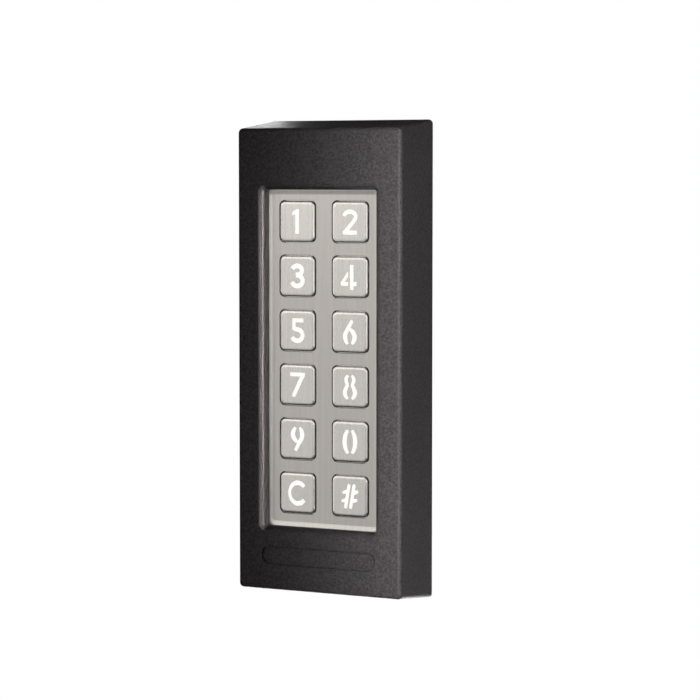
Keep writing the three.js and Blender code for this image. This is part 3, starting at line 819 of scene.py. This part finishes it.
def key_face(name):
    """A pressed metal cap: rolled edges, a flange behind the plate and the pocket for its light."""
    low, high = (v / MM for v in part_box("key_cap_" + name))
    centre, half = key_centre(name)
    light_low, light_high = (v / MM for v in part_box("light_guide_" + name))
    face, back = low.y, high.y
    flange_front = plate_high.y + GAP
    half_width, half_height = half.x - CAP["lip"], half.z - CAP["lip"]

    def ring(y, inset):
        radius = CAP["corner"] - inset * 0.5
        return at(y, rounded(half_width - inset, half_height - inset, radius, centre.x, centre.z))

    def pocket(y):
        pocket_x = (light_high.x - light_low.x) / 2 + GAP
        pocket_z = (light_high.z - light_low.z) / 2 + GAP
        return at(y, rounded(pocket_x, pocket_z, CAP["pocket_corner"], centre.x, centre.z))

    rings = [ring(face + drop, inset) for inset, drop in CAP_ROLL]
    rings.append(ring(flange_front, 0))
    rings.append(ring(flange_front, -CAP["lip"]))
    rings.append(ring(back, -CAP["lip"]))
    rings.append(pocket(back))
    rings.append(pocket(face + CAP["face"]))
    made = loft("key_face_" + name, rings)
    carve(made, legend_tools(name, 0, face - PAST, face + CAP["face"] + LEGEND_PAST), "DIFFERENCE")
    return made


def key_light(name):
    """The milky block behind the cap, with the legend standing up through the cut-out."""
    low, high = (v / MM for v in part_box("light_guide_" + name))
    centre = key_centre(name)[0]
    half_width, half_height = (high.x - low.x) / 2, (high.z - low.z) / 2
    edge = LIGHT["edge"]

    def ring(y, inset):
        outline = rounded(half_width - inset, half_height - inset, LIGHT["corner"], centre.x, centre.z)
        return at(y, outline)

    made = loft("key_light_" + name, [ring(low.y, edge), ring(low.y + edge, 0), ring(high.y, 0)])
    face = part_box("key_cap_" + name)[0].y / MM
    tools = legend_tools(name, LEGEND_CLEARANCE, face + LEGEND_RECESS, low.y + LEGEND_SUNK)
    carve(made, tools, "UNION")
    return made


metal_keys = []
for key in KEY_NAMES:
    body = "key_" + key
    cap = key_face(key)
    metal_keys.append(cap)
    finish_piece(cap, MATERIALS["key_steel"], "key_steel", body, "key_cap_" + key)
    finish_piece(key_light(key), MATERIALS["legend_white"], "legend_white", body, "light_guide_" + key)

# ---------------------------------------------------------------- back and underside


sheet_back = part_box("back_plate")[1].y / MM
sheet_front = sheet_back - BACK["thick"]


def hole(z, radius, y_front, y_back):
    """A round cutter along Y on the centre line."""
    return turned("hole", [(radius, y_front - PAST), (radius, y_back + PAST)], (0, 0, z))


def back_hook(side):
    """An arm bent forward from the plate and the lip turned up at its end."""
    x0, x1 = sorted((side * HOOK["inner"], side * HOOK["outer"]))
    low = (x0, HOOK["front"], HOOK["bottom"])
    return [
        block("arm", low, (x1, sheet_front + SUNK, HOOK["bottom"] + HOOK["thick"])),
        block("lip", low, (x1, HOOK["front"] + HOOK["lip"], HOOK["top"])),
    ]


def back_sheet():
    """The steel plate with its two hooks above, its foot below, and its holes."""
    outline = rounded(BACK["half_width"], BACK["half_height"], BACK["corner"])
    made = prism("back_sheet", outline, sheet_front, sheet_back)
    foot_top = FOOT["bottom"] + FOOT["thick"]
    foot = block(
        "foot",
        (-FOOT["half_width"], FOOT["front"], FOOT["bottom"]),
        (FOOT["half_width"], sheet_front + SUNK, foot_top),
    )
    carve(made, back_hook(-1) + back_hook(1) + [foot], "UNION")
    cuts = [hole(z, MOUNTING_HOLE, sheet_front, sheet_back) for z in MOUNTING_HOLES_Z]
    cuts.append(hole(grommet_centre.z, GROMMET["neck"] + GAP, sheet_front, sheet_back))
    thread = BOLT["shank"] + GAP
    thread_profile = [(thread, FOOT["bottom"] - PAST), (thread, foot_top + PAST)]
    cuts.append(turned("bore", thread_profile, bolt_centre, "Z"))
    carve(made, cuts, "DIFFERENCE")
    return made


def gasket_sheet():
    """The rubber sheet that seals the back plate to the post."""
    low, high = (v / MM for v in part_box("rear_gasket"))
    soft = GASKET["soft"]

    def ring(y, inset):
        return at(y, rounded(high.x - inset, high.z - inset, BACK["corner"]))

    made = loft("gasket_sheet", [ring(low.y, 0), ring(high.y - soft, 0), ring(high.y, soft)])
    screw_hole = MOUNTING_HOLE + GASKET["hole_margin"]
    cuts = [hole(z, screw_hole, low.y, high.y) for z in MOUNTING_HOLES_Z]
    cuts.append(hole(grommet_centre.z, GROMMET["flange"] + GAP, low.y, high.y))
    carve(made, cuts, "DIFFERENCE")
    return made


def grommet():
    """A rubber ring whose two flanges grip the back plate."""
    bore, neck, flange, soft = (GROMMET[k] for k in ("bore", "neck", "flange", "soft"))
    front, back = grommet_low.y, grommet_high.y
    return turned("grommet", [
        (bore, front + soft),
        (bore + soft, front),
        (flange - soft, front),
        (flange, front + soft),
        (flange, sheet_front - GAP),
        (neck, sheet_front - GAP),
        (neck, sheet_back + GAP),
        (flange, sheet_back + GAP),
        (flange, back - soft),
        (flange - soft, back),
        (bore + soft, back),
        (bore, back - soft),
    ], (grommet_centre.x, 0, grommet_centre.z), closed=True)


def security_bolt():
    """A button-headed screw with a pin in its socket."""
    low, high = bolt_low.z, bolt_high.z
    head, shank = (bolt_high.x - bolt_low.x) / 2, BOLT["shank"]
    seat = low + BOLT["head_thick"]
    made = turned("security_bolt", [(head * share, low + rise) for share, rise in BOLT_DOME] + [
        (head, seat),
        (shank, seat),
        (shank, high - BOLT["point"]),
        (shank - BOLT["point_taper"], high),
    ], bolt_centre, "Z")
    socket_profile = [(SOCKET["radius"], low - PAST), (SOCKET["radius"], low + SOCKET["depth"])]
    carve(made, [turned("socket", socket_profile, bolt_centre, "Z", SOCKET["sides"])], "DIFFERENCE")
    pin_profile = [(PIN["radius"], low + PIN["below"]), (PIN["radius"], low + PIN["depth"])]
    carve(made, [turned("pin", pin_profile, bolt_centre, "Z", PIN["sides"])], "UNION")
    return made


finish_piece(back_sheet(), MATERIALS["back_plate_steel"], "back_plate_steel", BODY, "back_plate")
finish_piece(gasket_sheet(), MATERIALS["black_rubber"], "black_rubber", BODY, "rear_gasket")
finish_piece(grommet(), MATERIALS["black_rubber"], "black_rubber", BODY, "cable_grommet")
finish_piece(security_bolt(), MATERIALS["screw_steel"], "screw_steel", BODY, "security_screw")

# ---------------------------------------------------------------- carried-over nodes

CARRIED = {
    "window_seal": "black_rubber",
    "key_mat": "silicone",
    "keypad_board": "circuit_board",
    "board_carrier": "black_plastic",
    "control_board": "circuit_board",
    "board_header": "black_plastic",
    "relay_1": "black_plastic",
    "relay_2": "black_plastic",
    "terminal_block": "terminal_plastic",
    "microcontroller": "black_plastic",
    "supply_capacitor": "capacitor_can",
    "buzzer": "black_plastic",
    "tamper_switch": "black_plastic",
    "tamper_plunger": "white_plastic",
}
for i in range(1, SCREWS + 1):
    CARRIED["carrier_screw_%d" % i] = "screw_steel"
    CARRIED["board_screw_%d" % i] = "screw_steel"

for node, slot in CARRIED.items():
    mesh = frame["nodes"][node].data
    mesh.materials.clear()
    mesh.materials.append(MATERIALS[slot])

# ---------------------------------------------------------------- stage and light


FLOOR = {"half_size": 9000, "z": -2500}
CENTRE = (0, 0, 0)
WHITE = (1, 1, 1)
LEFT_WARM = (1, 0.975, 0.95)
BEAM_WARM = (1, 0.95, 0.96)


def floor():
    """A wide sheet of white paper far below, which lights nothing else."""
    size = FLOOR["half_size"]
    bm = bmesh.new()
    corners = [(-size, -size), (size, -size), (size, size), (-size, size)]
    bm.faces.new([bm.verts.new(Vector((x, y, FLOOR["z"])) * MM) for x, y in corners])
    mesh = bpy.data.meshes.new("floor")
    bm.to_mesh(mesh)
    bm.free()
    made = new_object("floor", mesh)
    material = Surface("floor_paper", (0.9, 0.9, 0.895), 0.9)
    material.bump(material.noise(30), 0.0005, 0.2)
    mesh.materials.append(material.material)
    made.visible_diffuse = False
    made.visible_glossy = False
    return made


def panel(
    name, location, target, size, radiance, color=WHITE, spread=180, lights=None, blocked_by=None,
):
    """A soft box of the given brightness that faces the target. The camera doesn't see it.

    lights and blocked_by are collections: what it shines on, and what casts shadows in its light.
    """
    data = bpy.data.lights.new(name, "AREA")
    data.shape = "RECTANGLE"
    data.size, data.size_y = size
    data.energy = radiance * math.pi * data.size * data.size_y
    data.color = color
    data.spread = math.radians(spread)
    made = bpy.data.objects.new(name, data)
    bpy.context.scene.collection.objects.link(made)
    made.location = location
    made.rotation_euler = (Vector(target) - Vector(location)).to_track_quat("-Z", "Y").to_euler()
    made.visible_camera = False
    if lights:
        made.light_linking.receiver_collection = lights
    if blocked_by:
        made.light_linking.blocker_collection = blocked_by


def lit_group(name, *pieces):
    """A collection for light linking."""
    group = bpy.data.collections.new(name)
    for piece in pieces:
        group.objects.link(piece)
    return group


def floor_light(stage_floor, strength):
    """A high sun that only lights the floor, so the paper stays white."""
    data = bpy.data.lights.new("floor_light", "SUN")
    data.energy = strength
    data.angle = math.radians(50)
    made = bpy.data.objects.new("floor_light", data)
    bpy.context.scene.collection.objects.link(made)
    made.light_linking.receiver_collection = lit_group("floor_only", stage_floor)


def world():
    """White where the camera sees it, and nearly black for everything else."""
    made = bpy.data.worlds.new("studio")
    made.use_nodes = True
    tree = made.node_tree
    tree.nodes.clear()
    output = tree.nodes.new("ShaderNodeOutputWorld")
    mix = tree.nodes.new("ShaderNodeMixShader")
    seen = tree.nodes.new("ShaderNodeBackground")
    lighting = tree.nodes.new("ShaderNodeBackground")
    path = tree.nodes.new("ShaderNodeLightPath")
    seen.inputs["Color"].default_value = (1, 1, 1, 1)
    lighting.inputs["Color"].default_value = (0.03, 0.03, 0.031, 1)
    tree.links.new(path.outputs["Is Camera Ray"], mix.inputs["Fac"])
    tree.links.new(lighting.outputs["Background"], mix.inputs[1])
    tree.links.new(seen.outputs["Background"], mix.inputs[2])
    tree.links.new(mix.outputs["Shader"], output.inputs["Surface"])
    bpy.context.scene.world = made


world()
floor_light(floor(), 4.0)
housing_only = lit_group("housing_only", housing)
metal_only = lit_group("metal_only", plate, *metal_keys)

# Broad soft boxes to the left, whose light reaches the plate past the window's rim.
left = {"size": (0.8, 0.55), "color": LEFT_WARM, "blocked_by": metal_only}
panel("left_high", (-0.58, -1.0, 0.33), CENTRE, radiance=1.68, **left)
panel("left_low", (-0.58, -1.0, -0.25), CENTRE, radiance=0.76, **left)

# What the brushed plate and the keys mirror.
panel("far_left", (-1.1, -0.5, 0.05), CENTRE, (0.7, 0.8), 1.3, lights=metal_only)
panel("overhead", (-0.2, -0.5, 1.0), CENTRE, (0.9, 0.5), 1.1, lights=metal_only)
panel("metal_front", (0.12, -1.15, 0.12), CENTRE, (0.4, 0.6), 2.2, lights=metal_only)
panel("metal_right", (0.8, -0.75, 0.1), CENTRE, (0.45, 0.6), 1.3, lights=metal_only)

# What shades the black housing: a low fill, narrow beams, and small boxes below and above.
panel("right_edge", (0.8, -0.75, 0.1), CENTRE, (0.45, 0.6), 0.3, lights=housing_only)
beam = {"size": (0.035, 0.2), "color": BEAM_WARM, "lights": housing_only}
panel("front_beam", (0.1267, -0.4631, 0.01), (0.048, -0.02, 0), radiance=6.85, spread=16, **beam)
panel("side_beam", (0.2534, -0.4768, 0.02), (0.05, -0.02, 0), radiance=3.45, spread=12, **beam)
panel(
    "reveal_beam", (0.38, -0.23, 0.02), (-0.02, -0.02, 0), (0.03, 0.15), 1.35,
    color=(1, 0.95, 0.93), spread=12, lights=housing_only,
)
panel("under", (-0.2, -0.5, -0.9), CENTRE, (0.8, 0.5), 0.5, color=(1, 0.96, 0.97), lights=housing_only)
panel(
    "top_left", (-0.055, 0.03, 0.086), (-0.027, -0.005, 0.071), (0.025, 0.02), 10,
    lights=housing_only,
)

# Fill for the back.
panel("back_right", (0.6, 1.0, 0.4), CENTRE, (0.9, 0.6), 0.5)
panel("back_left", (-0.3, 0.95, -0.6), CENTRE, (1.0, 0.7), 16.0)

bpy.context.scene.view_settings.view_transform = "Standard"
